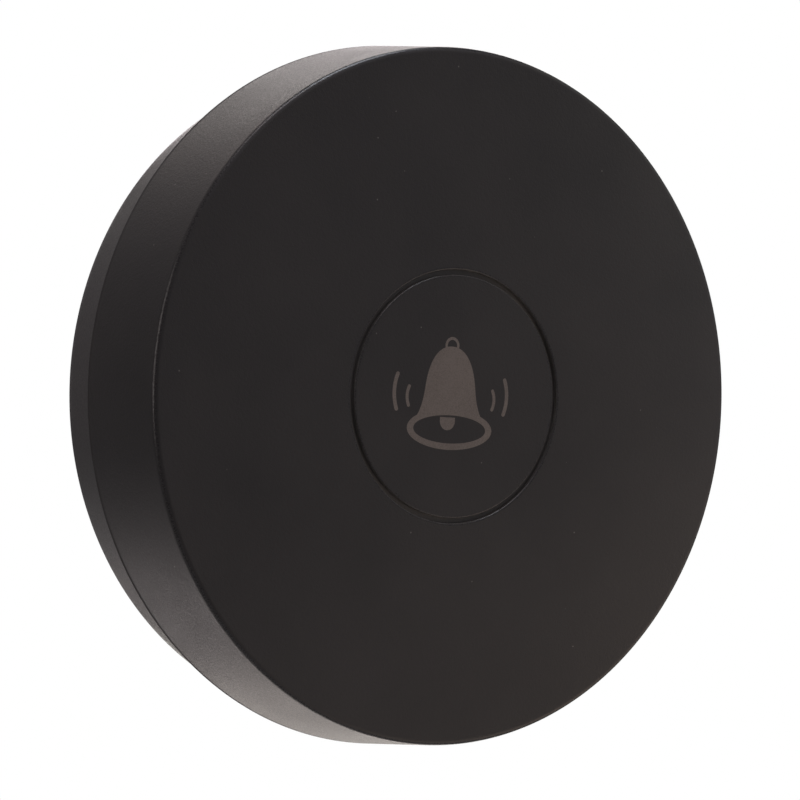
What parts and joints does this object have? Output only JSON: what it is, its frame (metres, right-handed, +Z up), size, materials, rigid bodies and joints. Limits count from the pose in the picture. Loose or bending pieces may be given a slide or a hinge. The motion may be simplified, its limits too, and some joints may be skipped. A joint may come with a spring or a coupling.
{
  "type": "wireless doorbell button",
  "caption": "Round wall-mounted wireless doorbell push with a drafted shell, a flush round button with a bell symbol, and a twist-off base.",
  "frame": {"origin": "centre of the adhesive pad's face, where the part meets the wall", "axes": "+Y points into the wall, -Y out of the button's face, +Z up as the bell symbol stands"},
  "size_m": [0.06, 0.017, 0.06],
  "materials": {
    "shell_black": "fine moulded texture",
    "button_black": "fine moulded texture",
    "symbol_smoke": "smoked translucent plastic, satin",
    "base_black": "moulded",
    "seal_rubber": "moulded",
    "pad_foam": "foam with a smooth release face",
    "board_green": "solder resist",
    "steel": "plated",
    "part_black": "moulded",
    "stem_white": "moulded",
    "led_white": "moulded",
    "lens_clear": "clear",
    "copper": "bare copper",
    "can_metal": "drawn",
    "ceramic_tan": "ceramic",
    "cradle_grey": "moulded",
    "cell_jacket": "printed jacket, left plain"
  },
  "bodies": {
    "base": {"mounting_base": "base_black", "base_seal": "seal_rubber", "adhesive_pad": "pad_foam"},
    "shell": {"front_housing": "shell_black", "circuit_board": "board_green", "board_screws": "steel", "switch_base": "part_black", "switch_cover": "steel", "snap_dome": "steel", "switch_legs": "steel", "indicator_led": "led_white", "led_lens": "lens_clear", "transmitter_chip": "part_black", "chip_leads": "steel", "crystal_base": "part_black", "crystal_can": "can_metal", "capacitor_base": "part_black", "capacitor_can": "can_metal", "chip_resistors": "part_black", "chip_capacitors": "ceramic_tan", "rf_coil": "copper", "loop_antenna": "copper", "battery_cradle": "cradle_grey", "battery_cell": "cell_jacket", "battery_spring": "steel", "negative_contact": "steel", "positive_contact": "steel"},
    "button": {"push_button": "button_black", "symbol_core": "symbol_smoke"},
    "stem": {"switch_stem": "stem_white"}
  },
  "joints": [
    {"name": "base_twist", "type": "hinge", "parent": "base", "child": "shell", "pos_m": [0, 0, 0], "axis": [0, -1, 0], "range_deg": [0, 30]},
    {"name": "button_press", "type": "slide", "parent": "shell", "child": "button", "axis": [0, 1, 0], "range_m": [0, 0.0004], "stiffness_N_per_m": 2000},
    {"name": "stem_press", "type": "slide", "parent": "shell", "child": "stem", "axis": [0, 1, 0], "range_m": [0, 0.0004]}
  ],
  "couplings": [
    {"joint": "stem_press", "follows": "button_press", "ratio": 1}
  ]
}
